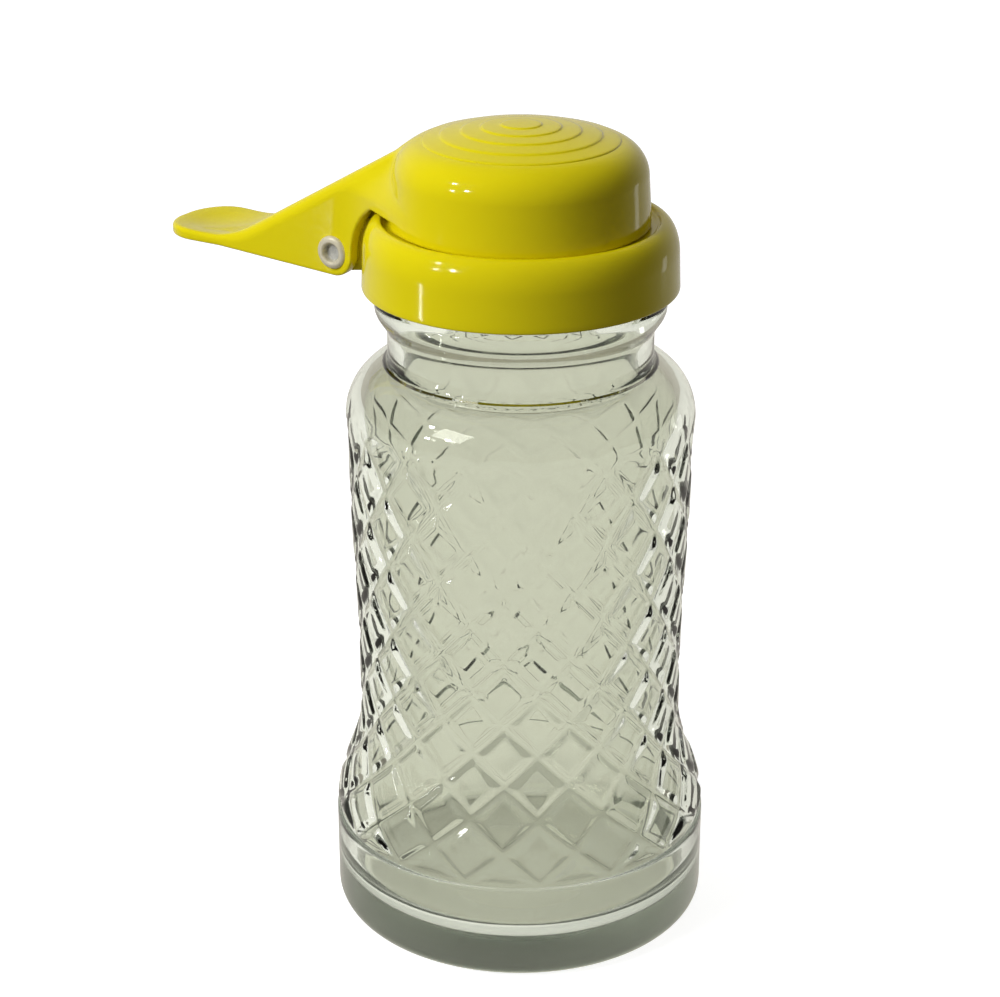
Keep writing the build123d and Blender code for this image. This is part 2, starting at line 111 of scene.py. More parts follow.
def step(lo, hi, x):
    """A smooth rise from 0 at lo to 1 at hi."""
    t = np.clip((x - lo) / (hi - lo), 0, 1)
    return t * t * (3 - 2 * t)


def between(start, end, share):
    """The point at a share of the way between two points of a plane."""
    return tuple(a + (b - a) * share for a, b in zip(start, end))


def thread_ridge(angles, z, zero_z, start, end, core, flank):
    """Share of a thread's height at each angle, for a thread from start to end in turns."""
    ridge = np.zeros(len(angles))
    for n in (-1, 0, 1):
        along = angles / (2 * math.pi) + n
        centre = zero_z + along * THREAD_PITCH * THREAD_DRAWN
        show = step(start, start + THREAD_FADE, along) * (1 - step(end - THREAD_FADE, end, along))
        ridge = np.maximum(ridge, show * (1 - step(core, flank, np.abs(z - centre))))
    return ridge


def place(ob, body, slot, material, *nodes):
    """Dress a piece, put it on a body and hide the CAD nodes that it stands for."""
    ob.data.materials.clear()
    ob.data.materials.append(material)
    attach(ob, body)
    if nodes:
        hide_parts(*nodes)
    return ob


# -------------------------------------------------------------- material tools
def new_material(name):
    m = bpy.data.materials.new(name)
    m.use_nodes = True
    nt = m.node_tree
    nt.nodes.clear()
    out = nt.nodes.new("ShaderNodeOutputMaterial")
    sh = nt.nodes.new("ShaderNodeBsdfPrincipled")
    nt.links.new(sh.outputs["BSDF"], out.inputs["Surface"])
    return m, nt, sh


def object_place(nt):
    """Where a point lies on its piece, in metres."""
    return nt.nodes.new("ShaderNodeTexCoord").outputs["Object"]


def noise(nt, scale, detail=3.0, rough=0.5):
    n = nt.nodes.new("ShaderNodeTexNoise")
    n.inputs["Scale"].default_value = scale
    n.inputs["Detail"].default_value = detail
    n.inputs["Roughness"].default_value = rough
    nt.links.new(object_place(nt), n.inputs["Vector"])
    return n.outputs["Fac"]


def ramp(nt, source, start, end):
    """A colour ramp between two stops, each a (position, colour) pair."""
    r = nt.nodes.new("ShaderNodeValToRGB")
    nt.links.new(source, r.inputs["Fac"])
    for element, (position, colour) in zip(r.color_ramp.elements, (start, end)):
        element.position = position
        element.color = colour
    return r.outputs["Color"]


def shade(nt, sh, socket, source, start, end):
    """Drive one socket of a shader by a texture, between two stops."""
    nt.links.new(ramp(nt, source, start, end), sh.inputs[socket])


def map_range(nt, source, start, end, smooth=False):
    """Carry a value from one range to another; start and end are (from, to) pairs."""
    n = nt.nodes.new("ShaderNodeMapRange")
    if smooth:
        n.interpolation_type = "SMOOTHSTEP"
    n.inputs["From Min"].default_value, n.inputs["To Min"].default_value = start
    n.inputs["From Max"].default_value, n.inputs["To Max"].default_value = end
    nt.links.new(source, n.inputs["Value"])
    return n.outputs["Result"]


def bump(nt, sh, height, strength, distance):
    """Bump from a texture; the distance is in metres."""
    b = nt.nodes.new("ShaderNodeBump")
    b.inputs["Strength"].default_value = strength
    b.inputs["Distance"].default_value = distance
    nt.links.new(height, b.inputs["Height"])
    nt.links.new(b.outputs["Normal"], sh.inputs["Normal"])


def grey(value):
    return (value, value, value, 1)


def srgb(r, g, b):
    """A colour given as it is seen on a screen, 0 to 255."""
    def linear(c):
        return (c / 255 / 12.92) if c <= 10.3 else ((c / 255 + 0.055) / 1.055) ** 2.4

    return (linear(r), linear(g), linear(b), 1.0)


# ------------------------------------------------------------------- materials
def yellow_plastic():
    m, nt, sh = new_material("yellow_moulded_plastic")
    tones = (0.3, srgb(226, 211, 8)), (0.7, srgb(232, 217, 14))
    shade(nt, sh, "Base Color", noise(nt, 28, 2.0), *tones)
    shade(nt, sh, "Roughness", noise(nt, 900, 4.0, 0.6), (0.35, grey(0.07)), (0.75, grey(0.13)))
    bump(nt, sh, noise(nt, 130, 3.0), 0.06, 0.0004)
    sh.inputs["IOR"].default_value = 1.5
    sh.inputs["Specular IOR Level"].default_value = 0.32
    sh.inputs["Subsurface Weight"].default_value = 0.12
    sh.inputs["Subsurface Radius"].default_value = (1.0, 0.8, 0.05)
    sh.inputs["Subsurface Scale"].default_value = 0.0012
    return m


STIPPLE_LOW, STIPPLE_HIGH, STIPPLE_ROUGH = 0.5, 1.5, 0.4


def pressed_glass():
    m, nt, sh = new_material("pressed_clear_glass")
    sh.inputs["Base Color"].default_value = (0.705, 0.712, 0.628, 1)
    sh.inputs["Transmission Weight"].default_value = 1.0
    sh.inputs["IOR"].default_value = 1.5
    clear = ramp(nt, noise(nt, 420, 3.0, 0.6), (0.4, grey(0.0)), (0.8, grey(0.03)))
    # the bearing surface under the foot is stippled
    split = nt.nodes.new("ShaderNodeSeparateXYZ")
    nt.links.new(object_place(nt), split.inputs["Vector"])
    stipple = map_range(nt, split.outputs["Z"], (STIPPLE_LOW * MM, STIPPLE_ROUGH), (STIPPLE_HIGH * MM, 0.0))
    rougher = nt.nodes.new("ShaderNodeMath")
    rougher.operation = "MAXIMUM"
    nt.links.new(clear, rougher.inputs[0])
    nt.links.new(stipple, rougher.inputs[1])
    nt.links.new(rougher.outputs["Value"], sh.inputs["Roughness"])
    bump(nt, sh, noise(nt, 60, 2.0, 0.4), 0.25, 0.0006)
    volume = nt.nodes.new("ShaderNodeVolumeAbsorption")
    volume.inputs["Color"].default_value = (0.6, 0.74, 0.62, 1)
    volume.inputs["Density"].default_value = 12.0
    nt.links.new(volume.outputs["Volume"], nt.nodes["Material Output"].inputs["Volume"])
    return m


# radii where the painted shade in the rivet's hollow end gives way to the flange
HOLLOW_R, FLANGE_R = 1.6, 1.85
COLOUR_A, COLOUR_B, COLOUR_OUT = 6, 7, 2  # the colour sockets of a Mix node


def rivet_metal():
    m, nt, sh = new_material("nickelled_rivet")
    grain = noise(nt, 700, 4.0, 0.65)
    # the flange is light metal tinted cream by a painted reflection of the yellow plastic; the hollow is
    # greyer with painted shade
    flange_with_reflection = ramp(nt, grain, (0.3, srgb(220, 212, 184)), (0.7, srgb(238, 232, 210)))
    hollow_shade = ramp(nt, grain, (0.35, srgb(168, 168, 162)), (0.65, srgb(214, 214, 206)))
    # distance from the hinge line parts the hollow, greyed by painted shade, from the flange, whose cream
    # tint is partly a painted reflection of the yellow plastic
    flat = nt.nodes.new("ShaderNodeVectorMath")
    flat.operation = "MULTIPLY_ADD"
    nt.links.new(object_place(nt), flat.inputs[0])
    flat.inputs[1].default_value = (1, 0, 1)
    flat.inputs[2].default_value = (-PX * MM, 0, -PZ * MM)
    away = nt.nodes.new("ShaderNodeVectorMath")
    away.operation = "LENGTH"
    nt.links.new(flat.outputs["Vector"], away.inputs[0])
    share = map_range(nt, away.outputs["Value"], (HOLLOW_R * MM, 0.0), (FLANGE_R * MM, 1.0))
    mix = nt.nodes.new("ShaderNodeMix")
    mix.data_type = "RGBA"
    nt.links.new(share, mix.inputs["Factor"])
    nt.links.new(hollow_shade, mix.inputs[COLOUR_A])
    nt.links.new(flange_with_reflection, mix.inputs[COLOUR_B])
    nt.links.new(mix.outputs[COLOUR_OUT], sh.inputs["Base Color"])
    shade(nt, sh, "Roughness", grain, (0.3, grey(0.34)), (0.7, grey(0.48)))
    sh.inputs["Metallic"].default_value = 0.35
    bump(nt, sh, grain, 0.15, 0.0002)
    return m


def spring_steel():
    m, nt, sh = new_material("spring_wire")
    grain = noise(nt, 1500, 3.0, 0.6)
    shade(nt, sh, "Base Color", grain, (0.3, (0.30, 0.30, 0.31, 1)), (0.7, (0.5, 0.5, 0.52, 1)))
    shade(nt, sh, "Roughness", grain, (0.3, grey(0.22)), (0.7, grey(0.35)))
    sh.inputs["Metallic"].default_value = 1.0
    bump(nt, sh, grain, 0.1, 0.0001)
    return m


def liner_foam():
    m, nt, sh = new_material("liner_foam")
    cells = noise(nt, 2200, 4.0, 0.7)
    shade(nt, sh, "Base Color", cells, (0.3, (0.74, 0.74, 0.72, 1)), (0.7, (0.86, 0.86, 0.84, 1)))
    shade(nt, sh, "Roughness", cells, (0.3, grey(0.62)), (0.7, grey(0.78)))
    bump(nt, sh, cells, 0.3, 0.0003)
    return m


YELLOW = yellow_plastic()
GLASS = pressed_glass()
RIVET = rivet_metal()
STEEL = spring_steel()
FOAM = liner_foam()

# ------------------------------------------------------------------- glass jar
FOOT_R, FOOT_ROUND, HEEL_ROUND = 38.4, 4.0, 0.7
PUSH_UP, BEARING_R = 1.2, 28.8
HEEL_TOP, QUILT_TOP = 21.4, 107.0
WAIST_R, WAIST_Z = 33.0, 44.0
FLARE, FLARE_LOW, FLARE_HIGH = 1.25, 54.0, 98.0
SHOULDER_X, SHOULDER_Z, SHOULDER_R = 23.0, 107.9, 11.7
SHOULDER_LOW, SHOULDER_FULL = 102.0, 108.5  # where the body passes into the shoulder's arc
NECK_R, BORE_R, NECK_FILLET = 26.2, 23.0, 1.6
BEAD_R, BEAD_LOW, BEAD_RISE = 28.6, 125.0, 5.4
FINISH_R, THREAD_DEPTH, THREAD_ZERO_Z = 27.0, 1.0, 135.4
WALL, FLOOR_Z, FLOOR_ROUND = 3.7, 6.8, 8.0
# the net of the quilting, counted in halves of a diamond
HALF_ROWS, HALF_COLUMNS, GROWTH, TURN, RELIEF = 12, 32, 0.0125, 3.3, 0.55
FULL_CLIMB = HALF_ROWS + GROWTH * HALF_ROWS**2
PER_CELL = 12
AROUND = HALF_COLUMNS * PER_CELL
JAR_ANGLES = full_circle(AROUND)


def swell(start, end, share):
    """A cosine passage from start to end."""
    t = np.clip(share, 0, 1)
    return start + (end - start) * (1 - np.cos(math.pi * t)) / 2


def body_radius(z):
    z = np.asarray(z, float)
    foot = swell(FOOT_R, WAIST_R, (z - HEEL_TOP) / (WAIST_Z - HEEL_TOP))
    return foot + swell(0.0, FLARE, (z - FLARE_LOW) / (FLARE_HIGH - FLARE_LOW))


def net_height(b):
    """Height of half row b; the rows grow towards the top."""
    return HEEL_TOP + (QUILT_TOP - HEEL_TOP) * (b + GROWTH * b * b) / FULL_CLIMB


def pillow(a, b):
    """Height share of the quilting at half column a and half row b."""
    p, q = (a + b) / 2, (a - b) / 2
    inner = 1 - 2 * np.maximum(np.abs(p - np.round(p)), np.abs(q - np.round(q)))
    return step(0.05, 0.42, np.minimum(inner, b))


def plain(profile):
    """Rows of the jar that are the same all the way round."""
    return [(np.full(AROUND, r), np.full(AROUND, z)) for r, z in profile]


def foot_rows():
    """The pushed-up base, the bearing surface and the plain band."""
    under = [(0.4, PUSH_UP)]
    under += [(r, PUSH_UP * (1 - (r / BEARING_R) ** 2)) for r in (6, 12, 17, 21, 24.5, 27, 28.2)]
    under += [(BEARING_R, 0.0), (30.5, 0.0), (32.5, 0.0), (33.8, 0.0)]
    band = arc(FOOT_R - FOOT_ROUND, FOOT_ROUND, FOOT_ROUND, -88, 0, 12)
    band += [(FOOT_R, z) for z in (6, 9, 12, 15, 18, 19.6)]
    band += arc(FOOT_R - HEEL_ROUND, HEEL_TOP - 1.0, HEEL_ROUND, 5, 80, 5)
    return plain(under + band)


def quilt_rows():
    """The quilted body up to the foot of the shoulder, where the net fades out."""
    rows = []
    a = np.arange(AROUND) / PER_CELL
    for k in range(HALF_ROWS * PER_CELL + 7):
        b = k / PER_CELL
        z = float(net_height(b))
        body = body_radius(z)
        shoulder = SHOULDER_X + math.sqrt(SHOULDER_R**2 - max(z - SHOULDER_Z, 0) ** 2)
        r = body + (shoulder - body) * step(SHOULDER_LOW, SHOULDER_FULL, z)
        relief = RELIEF * (1 - step(HALF_ROWS - 0.3, HALF_ROWS + 0.5, b))
        rows.append((r - relief * (1 - pillow(a, b)), np.full(AROUND, z)))
    return rows


def neck_fillet(shoulder_r, neck_r):
    """Centre of the fillet between the shoulder's arc and the neck, and where it starts."""
    reach, total = neck_r + NECK_FILLET - SHOULDER_X, shoulder_r + NECK_FILLET
    rise = math.sqrt(total**2 - reach**2)
    meet = math.degrees(math.atan2(-rise, -reach)) % 360
    return neck_r + NECK_FILLET, SHOULDER_Z + rise, meet


def neck_rows(z):
    """From the top of the quilting at height z to the transfer bead under the collar."""
    start = math.degrees(math.asin((z - SHOULDER_Z) / SHOULDER_R)) + 2.5
    profile = arc(SHOULDER_X, SHOULDER_Z, SHOULDER_R, start, 72, 16)
    fillet_x, fillet_z, meet = neck_fillet(SHOULDER_R, NECK_R)
    profile += arc(fillet_x, fillet_z, NECK_FILLET, meet, 180, 7)
    profile += [(NECK_R, z) for z in (121.5, 122.8, 124.2)]
    for s in np.linspace(0, 1, 9):
        profile.append((float(swell(NECK_R, BEAD_R, s)), BEAD_LOW + BEAD_RISE * s))
    profile += [(28.65, 131.0), (28.62, 131.7), (28.3, 132.3), (27.7, 132.9), (27.2, 133.5)]
    return plain(profile)


def finish_rows():
    """The screw finish and the rounded rim."""
    rows = plain([(FINISH_R, 134.0)])
    for z in np.linspace(134.3, 141.8, 31):
        ridge = thread_ridge(JAR_ANGLES, z, THREAD_ZERO_Z, 0.0, THREAD_TURNS, 0.2, 1.6)
        rows.append((FINISH_R + THREAD_DEPTH * ridge, np.full(AROUND, z)))
    rim = [(FINISH_R, 142.0)] + arc(26.1, 142.1, 0.9, 0, 90, 6)
    rim += [(25.4, 143.0)] + arc(24.9, 142.1, 0.9, 90, 180, 6)
    return rows + plain(rim)


def inside_rows():
    """The bore of the neck, and the body's inside with the slight waves of pressed glass."""
    t = JAR_ANGLES
    inner_r = SHOULDER_R - WALL
    fillet_x, fillet_z, meet = neck_fillet(inner_r, BORE_R)
    bore = [(24.0, 138.0), (24.0, 133.0), (23.9, 130.6), (23.4, 127.6), (23.05, 125.6), (BORE_R, 123.5)]
    bore += arc(fillet_x, fillet_z, NECK_FILLET, 180, meet, 6)
    bore += arc(SHOULDER_X, SHOULDER_Z, inner_r, meet - 180, 0, 14)
    rows = plain(bore)
    for z in np.linspace(105.5, 15.0, 56):
        wave = 0.10 * np.sin(3 * t + z / 11.0) + 0.07 * np.sin(5 * t - z / 7.0 + 1.3)
        wave = wave + 0.05 * np.sin(9 * t + z / 5.0)
        fade = step(15.0, 30.0, z) * (1 - step(95, 105.5, z))
        r = float(body_radius(z)) - WALL
        rows.append((np.full(AROUND, r) + wave * fade, np.full(AROUND, z)))
    floor_edge = arc(FOOT_R - WALL - FLOOR_ROUND, FLOOR_ROUND + 6.4, FLOOR_ROUND, 0, -90, 14)
    floor_edge += [(24.0, 6.4), (20.0, 6.5), (15.0, 6.65), (9.0, 6.75), (4.0, FLOOR_Z), (0.4, FLOOR_Z)]
    return rows + plain(floor_edge)


def jar_faces(rows, quilt_start):
    """Triangles whose diagonals follow the net of the quilting."""
    k = np.arange(rows - 1)[:, None] + np.zeros((1, AROUND), int)
    i = np.arange(AROUND)[None, :] + np.zeros((rows - 1, 1), int)
    a, b = k * AROUND + i, k * AROUND + (i + 1) % AROUND
    d, c = (k + 1) * AROUND + i, (k + 1) * AROUND + (i + 1) % AROUND
    falls = ((i // PER_CELL) + ((k - quilt_start) // PER_CELL)) % 2 == 0
    falling = np.stack([np.stack([a, b, d], -1), np.stack([b, c, d], -1)], -2)
    rising = np.stack([np.stack([a, b, c], -1), np.stack([a, c, d], -1)], -2)
    return np.where(falls[..., None, None], falling, rising).reshape(-1, 3)


def glass_jar():
    foot, quilt = foot_rows(), quilt_rows()
    rows = foot + quilt + neck_rows(quilt[-1][1][0]) + finish_rows() + inside_rows()
    turned = JAR_ANGLES + math.radians(TURN)
    grid = np.array([np.stack([r * np.cos(turned), r * np.sin(turned), z], -1) for r, z in rows])
    points = np.vstack([grid.reshape(-1, 3), [[0, 0, PUSH_UP]], [[0, 0, FLOOR_Z]]])
    # fans close the middle of the base and of the floor inside
    i = np.arange(AROUND)
    last = (len(rows) - 1) * AROUND
    under, over = np.full(AROUND, last + AROUND), np.full(AROUND, last + AROUND + 1)
    base = np.stack([under, (i + 1) % AROUND, i], -1)
    floor_fan = np.stack([over, last + i, last + (i + 1) % AROUND], -1)
    faces = np.vstack([jar_faces(len(rows), len(foot)), base, floor_fan])
    jar = make_mesh("jar_glass", points, faces)
    place(jar, "jar", "clear_glass", GLASS, "glass_jar")


glass_jar()

# --------------------------------------------------------------- screw collar
COUNT = 288
COLLAR_ANGLES = full_circle(COUNT)
SKIRT_R, SKIRT_LOW, SKIRT_HIGH, SKIRT_DRAFT = 31.0, 134.1, 141.0, 0.25
CREST_X, CREST_REACH, CREST_RISE = 27.4, 3.35, 6.5
GROOVE_R, DECK_Z, DECK_LOW = 25.9, 146.3, 144.0
SPOUT_X, SPOUT_FOOT_R, SPOUT_BORE_R = 12.0, 11.4, 6.0
LIP_HIGH, LIP_DROP, LIP_R, LIP_SHIFT, LIP_SINK = 156.5, 4.2, 7.3, 0.3, -0.55
THREAD_ROOT_R, COLLAR_THREAD, COLLAR_ZERO_Z = 28.9, 0.8, 138.0
EAR_R, EAR_HOLE, EAR_CHAMFER, EAR_THICK, EAR_EDGE = 4.4, 2.44, 0.2, 2.5, 0.35
EAR_ROOT, EAR_TOP = (-29.2, 134.2), (-28.6, 145.3)
EAR_NEAR_Y, EAR_FAR_Y = -7.7, 5.2


def ring(cx, r, z):
    """One closed ring; r and z may follow the angle."""
    t = COLLAR_ANGLES
    return np.stack([cx + r * np.cos(t), r * np.sin(t), z + 0 * t], -1)


def rings(cx, profile):
    return [ring(cx, r, z) for r, z in profile]


def skirt_outside():
    """From the inner edge of the skirt's foot up to the crest and down into the groove."""
    profile = arc(29.3, 134.5, 0.4, 180, 270, 4) + arc(30.6, 134.5, 0.4, 270, 360, 5)
    run = SKIRT_HIGH - SKIRT_LOW
    profile += [(SKIRT_R - SKIRT_DRAFT * (z - SKIRT_LOW) / run, z) for z in (135.5, 137.0, 139.0)]
    for s in np.radians(np.linspace(0, 90, 24)):
        profile.append((CREST_X + CREST_REACH * math.cos(s), SKIRT_HIGH + CREST_RISE * math.sin(s)))
    profile += arc(27.3, 147.1, 0.4, 90, 155, 5)
    profile += [(26.75, 146.95), (26.55, 146.65)]
    profile += arc(GROOVE_R, 146.9, 0.6, 340, 270, 4)
    return rings(0, profile)


def deck_top():
    """The deck, whose rings pass from the groove to the spout's foot."""
    spread = GROOVE_R - SPOUT_FOOT_R
    return [ring(SPOUT_X * s, GROOVE_R - spread * s, DECK_Z) for s in np.linspace(0.08, 0.92, 8)]


def lip(r, up):
    """A ring on the slanted plane of the spout's lip."""
    x = LIP_SHIFT + r * np.cos(COLLAR_ANGLES)
    high = LIP_HIGH + LIP_SINK + up - LIP_DROP * (LIP_R - x) / (2 * LIP_R)
    return np.stack([SPOUT_X + x, r * np.sin(COLLAR_ANGLES), high], -1)


def spout():
    """Foot fillet, waisted wall, rolled lip and bore."""
    wall = [(10.6, DECK_Z), (10.05, 146.45), (9.6, 146.8), (9.15, 147.3), (8.65, 148.0),
            (8.05, 149.0), (7.6, 150.0), (7.3, 151.0), (7.12, 152.0)]
    made = rings(SPOUT_X, wall)
    low, top = ring(SPOUT_X, 7.1, 151.3), lip(7.28, 0.0)
    made += [low + (top - low) * s for s in (0.25, 0.5, 0.75, 1.0)]
    for s in np.radians(np.linspace(20, 160, 8)):
        made.append(lip(6.65 + 0.65 * math.cos(s), 0.6 * math.sin(s)))
    bore_top, bore_low = lip(SPOUT_BORE_R, 0.0), ring(SPOUT_X, SPOUT_BORE_R, 150.5)
    made.append(bore_top)
    made += [bore_top + (bore_low - bore_top) * s for s in (0.33, 0.66, 1.0)]
    flare = [(6.35, 149.5), (6.75, 148.5), (7.2, 147.3), (7.7, 146.0), (8.1, 145.0), (8.4, 144.3)]
    return made + rings(SPOUT_X, flare + [(8.8, DECK_LOW)])


def collar_inside():
    """The underside of the deck and the threaded inside of the skirt."""
    made = [ring(SPOUT_X * (1 - s), 9.4 + (28.2 - 9.4) * s, DECK_LOW) for s in np.linspace(0.1, 0.95, 8)]
    made += rings(0, arc(28.4, 143.5, 0.5, 80, 0, 5))
    for z in np.linspace(143.0, 134.9, 30):
        ridge = thread_ridge(COLLAR_ANGLES, z, COLLAR_ZERO_Z, -0.35, 0.70, 0.3, 1.0)
        made.append(ring(0, THREAD_ROOT_R - COLLAR_THREAD * ridge, z))
    return made


def ear_tangent(point, side, r):
    """Where a line from a point touches the ear's round end of radius r, and at what angle."""
    run, rise = point[0] - PX, point[1] - PZ
    a = math.atan2(rise, run) + side * math.acos(r / math.hypot(run, rise))
    return (PX + r * math.cos(a), PZ + r * math.sin(a)), a


def ear_outline(inset):
    """The ear seen from the side: a round end, and straight sides to the skirt."""
    r = EAR_R - inset
    root, top = (EAR_ROOT[0], EAR_ROOT[1] + inset), (EAR_TOP[0], EAR_TOP[1] - inset)
    low, low_angle = ear_tangent(root, -1, r)
    high, high_angle = ear_tangent(top, 1, r)
    turned = np.linspace(high_angle, low_angle + 2 * math.pi, 40)
    loop = [(PX + r * math.cos(a), PZ + r * math.sin(a)) for a in turned]
    loop += [between(low, root, s) for s in (0.5, 1.0)]
    return loop + [between(top, high, s) for s in (0.0, 0.33, 0.66)]


def ear(name, y0):
    """One hinge ear: a rounded plate with the rivet's hole."""
    base, inset, eased = ear_outline(0), ear_outline(EAR_EDGE), ear_outline(EAR_EDGE * 0.3)
    toward = [math.atan2(z - PZ, x - PX) for x, z in base]

    def hole(r):
        return [(PX + r * math.cos(a), PZ + r * math.sin(a)) for a in toward]

    bore, mouth = hole(EAR_HOLE), hole(EAR_HOLE + EAR_CHAMFER)
    half = [(bore, EAR_CHAMFER), (mouth, 0), (inset, 0), (eased, EAR_EDGE * 0.3), (base, EAR_EDGE)]
    layers = half + [(loop, EAR_THICK - y) for loop, y in reversed(half)]
    points = np.array([[(x, y0 + y, z) for x, z in loop] for loop, y in layers]).reshape(-1, 3)
    return make_mesh(name, points, ring_faces(len(layers), len(base), flip=True, closed=True))


def screw_collar():
    made = np.array(skirt_outside() + deck_top() + spout() + collar_inside())
    collar = make_mesh("collar_moulding", made.reshape(-1, 3), ring_faces(len(made), COUNT, closed=True))
    ears = [ear("collar_ear_near", EAR_NEAR_Y), ear("collar_ear_far", EAR_FAR_Y)]
    place(collar, "collar", "yellow_plastic", YELLOW, "screw_collar")
    for e in ears:
        place(e, "collar", "yellow_plastic", YELLOW)


screw_collar()

# ------------------------------------------------------------------------ lid
SLOPE = math.radians(30)
ROOT_X, PAD_TOP, PAD_BOTTOM, TIP_X = -64.0, 136.1, 134.1, -82.4
ROOT_TURN = 5.0
HUMP, HUMP_X, HUMP_LENGTH = 0.35, -77.5, 5.0
SLOPE_END, DOME_RUN, DOME_FALL = -24.0, 12, 0.0255
LEVER_HALF, TIP_R, LEVER_END = 10.0, 9.0, -12.0
UNDER_START, UNDER_FALL, UNDER_RUN, CHEEK_R = -66.0, 1.7, 28.5, 4.9
DISH_X, DISH_R, DISH_DEPTH = -73.0, 30.0, 0.9
CHANNEL_HALF, CHANNEL_END, CHANNEL_ROOF = 8.0, -60.5, 2.0
BLEND, BLEND_LEAST, BLEND_LOW, BLEND_HIGH = 13.3, 1.2, 150.0, 158.5
CUT_X, CUT_R = -19.97, 12.63
CHEEK_LEVEL = 148.4
RIM_Z, RIM_R, TOP_R, CORNER_R, CORNER_Z = 146.6, 25.2, 24.6, 6.9, 156.03
CROWN_R, CROWN_TOP, CROWN_EDGE = 80.0, 165.1, 14.0
DOME_WALL, EDGE_ROUND = 2.0, 0.45
RINGS, RING_STEP, CROWN_PEAK = (19.0, 15.5, 11.5, 7.7, 3.9), 0.2, 166.095
PIN_R = 2.36
NET_STEP, QUICK_STEP = 0.38, 0.7
NET_LOW, NET_HIGH = (-83.4, -27.0, 131.2), (26.6, 27.0, 167.2)
CORNERS = [(a, b, c) for a in (0, 1) for b in (0, 1) for c in (0, 1)]


def round_union(a, b, r):
    """Union of two solids with a rounded inner corner."""
    return np.maximum(r, np.minimum(a, b)) - np.hypot(np.maximum(r - a, 0), np.maximum(r - b, 0))


def round_cut(a, b, r):
    """Intersection of two solids with a rounded edge."""
    return np.minimum(-r, np.maximum(a, b)) + np.hypot(np.maximum(r + a, 0), np.maximum(r + b, 0))


def top_line(x):
    """Height of the lever's top along its middle."""
    lo, hi = ROOT_X - ROOT_TURN, ROOT_X + ROOT_TURN * math.cos(SLOPE)
    radius = ROOT_TURN / math.tan(SLOPE / 2)
    z = np.where(x < lo, PAD_TOP, PAD_TOP + (x - ROOT_X) * math.tan(SLOPE))
    bend = np.clip(x - lo, 0, hi - lo)
    z = np.where((x >= lo) & (x < hi), PAD_TOP + radius - np.sqrt(radius**2 - bend**2), z)
    hump = HUMP * np.exp(-(((x - HUMP_X) / HUMP_LENGTH) ** 2))
    z_end = PAD_TOP + (SLOPE_END - ROOT_X) * math.tan(SLOPE)
    over = np.clip(x - SLOPE_END, 0, DOME_RUN)
    z = np.where(x > SLOPE_END, z_end + over * math.tan(SLOPE) - over**2 * DOME_FALL, z)
    return z + hump


def above_lever(x, z):
    """Distance above the lever's top, with its slope allowed for."""
    return (z - top_line(x)) * np.where(x > ROOT_X, math.cos(SLOPE), 1.0)


def dome_distance(r, z):
    wall = (r - RIM_R + (RIM_R - TOP_R) * (z - RIM_Z) / (CORNER_Z - RIM_Z)) * 0.997
    corner = np.hypot(r - TOP_R + CORNER_R, z - CORNER_Z) - CORNER_R
    crown = np.hypot(r, z - CROWN_TOP + CROWN_R) - CROWN_R
    turned = np.arctan2(r - TOP_R + CORNER_R, z - CORNER_Z)
    upper = np.where(turned > math.radians(CROWN_EDGE), corner, crown)
    return np.where(z < CORNER_Z, np.where(r > 10, wall, np.maximum(wall, crown)), upper)


def lever_distance(x, y, z):
    """The lever under its top line, round at the tip and along its upper edge."""
    over_x, over_y = TIP_X - x + TIP_R, np.abs(y) - LEVER_HALF + TIP_R
    plan = np.hypot(np.maximum(over_x, 0), np.maximum(over_y, 0))
    plan = plan + np.minimum(np.maximum(over_x, over_y), 0) - TIP_R
    edge = 0.9 + 1.7 * step(-69.0, -56.0, x)
    return np.maximum(round_cut(above_lever(x, z), plan, edge), x - LEVER_END)


def bottom_distance(x, z):
    """How far below or beyond the lever's lower edge a point is."""
    falling = PAD_BOTTOM - (x - UNDER_START) * UNDER_FALL / UNDER_RUN
    line = (np.where(x < UNDER_START, PAD_BOTTOM, falling) - z) * 0.998
    lobe = np.hypot(x - PX, z - PZ) - CHEEK_R
    disc = np.minimum(np.hypot(x - CUT_X, z - PZ) - CUT_R, CUT_X - x)
    cut = -np.maximum(disc, z - CHEEK_LEVEL)
    return np.where(z < PZ, np.where(x < PX, line, lobe), np.maximum(line, cut))


def lid_distance(p):
    """Signed distance to the lid: dome and lever, less what is cut out of them."""
    x, y, z = p[..., 0], p[..., 1], p[..., 2]
    r = np.hypot(x, y)
    dome = dome_distance(r, z)
    blend = BLEND_LEAST + (BLEND - BLEND_LEAST) * (1 - step(BLEND_LOW, BLEND_HIGH, z))
    body = round_union(dome, lever_distance(x, y, z), blend)
    under = np.minimum(np.maximum(r - 25.6, RIM_Z - z), bottom_distance(x, z))
    solid = round_cut(body, under, EDGE_ROUND)
    ball_z = PAD_TOP + DISH_R - DISH_DEPTH
    dish = DISH_R - np.sqrt((x - DISH_X) ** 2 + y**2 + (z - ball_z) ** 2)
    solid = round_cut(solid, dish, 0.6)
    sides = np.maximum(np.abs(y) - CHANNEL_HALF, above_lever(x, z) + CHANNEL_ROOF)
    channel = np.maximum(sides, np.maximum(CHANNEL_END - x, RIM_R - r))
    solid = round_cut(solid, -channel, EDGE_ROUND)
    solid = round_cut(solid, -(dome + DOME_WALL), EDGE_ROUND)
    return np.maximum(solid, PIN_R - np.hypot(x - PX, z - PZ))


def crossed_cells(inside):
    """Cells of the grid that have corners both inside and outside."""
    n = inside.shape
    corners_in = np.zeros([m - 1 for m in n], np.int8)
    for dx, dy, dz in CORNERS:
        corners_in += inside[dx:n[0] - 1 + dx, dy:n[1] - 1 + dy, dz:n[2] - 1 + dz]
    return (corners_in > 0) & (corners_in < 8)


